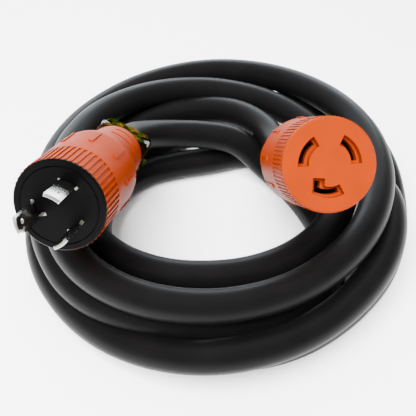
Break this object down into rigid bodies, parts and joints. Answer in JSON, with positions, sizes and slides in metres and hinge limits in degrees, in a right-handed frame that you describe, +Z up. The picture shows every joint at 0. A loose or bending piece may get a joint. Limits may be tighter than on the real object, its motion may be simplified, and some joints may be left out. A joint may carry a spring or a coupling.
{
  "type": "shore power cord",
  "caption": "Heavy rubber power cord in a loose coil, with an orange locking plug on one end and an orange locking connector on the other.",
  "frame": {"origin": "on the ground, under the middle of the coil's outline", "axes": "+Z up, +X to the right and -Y towards the viewer, to whom both faces look"},
  "size_m": [0.224, 0.244, 0.1171],
  "materials": {
    "orange_shell": "satin moulded nylon",
    "black_nylon": "matte moulded nylon",
    "nickel_plate": "nickel-plated brass, satin",
    "contact_brass": "plain brass",
    "zinc_plate": "bright zinc plate",
    "gold_zinc": "yellow zinc dichromate on pressed steel",
    "bare_copper": "bare stranded copper",
    "core_black": "smooth insulation",
    "core_white": "smooth insulation",
    "core_green": "smooth insulation",
    "grommet_rubber": "soft matte rubber",
    "cord_rubber": "satin extruded rubber jacket"
  },
  "bodies": {
    "cord_assembly": {"plug_face": "black_nylon", "plug_blade_x": "nickel_plate", "plug_blade_y": "nickel_plate", "plug_blade_ground": "nickel_plate", "connector_face": "orange_shell", "connector_contact_x": "contact_brass", "connector_contact_y": "contact_brass", "connector_contact_ground": "contact_brass", "plug_carrier": "black_nylon", "plug_terminal_screws": "contact_brass", "plug_pressure_plates": "zinc_plate", "plug_wire_ends": "bare_copper", "plug_core_black": "core_black", "plug_core_white": "core_white", "plug_core_green": "core_green", "plug_housing": "orange_shell", "plug_grommet": "grommet_rubber", "plug_clamp_fixed": "gold_zinc", "plug_assembly_screws": "zinc_plate", "connector_carrier": "black_nylon", "connector_terminal_screws": "contact_brass", "connector_pressure_plates": "zinc_plate", "connector_wire_ends": "bare_copper", "connector_core_black": "core_black", "connector_core_white": "core_white", "connector_core_green": "core_green", "connector_housing": "orange_shell", "connector_grommet": "grommet_rubber", "connector_clamp_fixed": "gold_zinc", "connector_assembly_screws": "zinc_plate", "cord_tail_plug": "cord_rubber", "cord_coil": "cord_rubber", "cord_tail_connector": "cord_rubber"},
    "plug_jaw": {"plug_clamp_moving": "gold_zinc"},
    "connector_jaw": {"connector_clamp_moving": "gold_zinc"},
    "plug_screw_left": {"plug_clamp_screw_left": "zinc_plate"},
    "plug_screw_right": {"plug_clamp_screw_right": "zinc_plate"},
    "connector_screw_left": {"connector_clamp_screw_left": "zinc_plate"},
    "connector_screw_right": {"connector_clamp_screw_right": "zinc_plate"}
  },
  "joints": [
    {"name": "plug_clamp_slide", "type": "slide", "parent": "cord_assembly", "child": "plug_jaw", "axis": [0.4163, 0.3118, 0.8541], "range_m": [0, 0.002]},
    {"name": "plug_screw_left_turn", "type": "hinge", "parent": "plug_jaw", "child": "plug_screw_left", "pos_m": [-0.06518, 0.00696, 0.05692], "axis": [0.4163, 0.3118, 0.8541], "range_deg": [0, 1030]},
    {"name": "plug_screw_right_turn", "type": "hinge", "parent": "plug_jaw", "child": "plug_screw_right", "pos_m": [-0.04393, -0.0006, 0.04933], "axis": [0.4163, 0.3118, 0.8541], "range_deg": [0, 1030]},
    {"name": "connector_clamp_slide", "type": "slide", "parent": "cord_assembly", "child": "connector_jaw", "axis": [0.9587, -0.0759, -0.274], "range_m": [0, 0.002]},
    {"name": "connector_screw_left_turn", "type": "hinge", "parent": "connector_jaw", "child": "connector_screw_left", "pos_m": [0.04157, 0.01382, 0.05159], "axis": [0.9587, -0.0759, -0.274], "range_deg": [0, 1030]},
    {"name": "connector_screw_right_turn", "type": "hinge", "parent": "connector_jaw", "child": "connector_screw_right", "pos_m": [0.03546, -0.00151, 0.03444], "axis": [0.9587, -0.0759, -0.274], "range_deg": [0, 1030]}
  ],
  "couplings": [
    {"joint": "plug_screw_left_turn", "follows": "plug_clamp_slide", "rad_per_m": 8976},
    {"joint": "plug_screw_right_turn", "follows": "plug_clamp_slide", "rad_per_m": 8976},
    {"joint": "connector_screw_left_turn", "follows": "connector_clamp_slide", "rad_per_m": 8976},
    {"joint": "connector_screw_right_turn", "follows": "connector_clamp_slide", "rad_per_m": 8976}
  ]
}
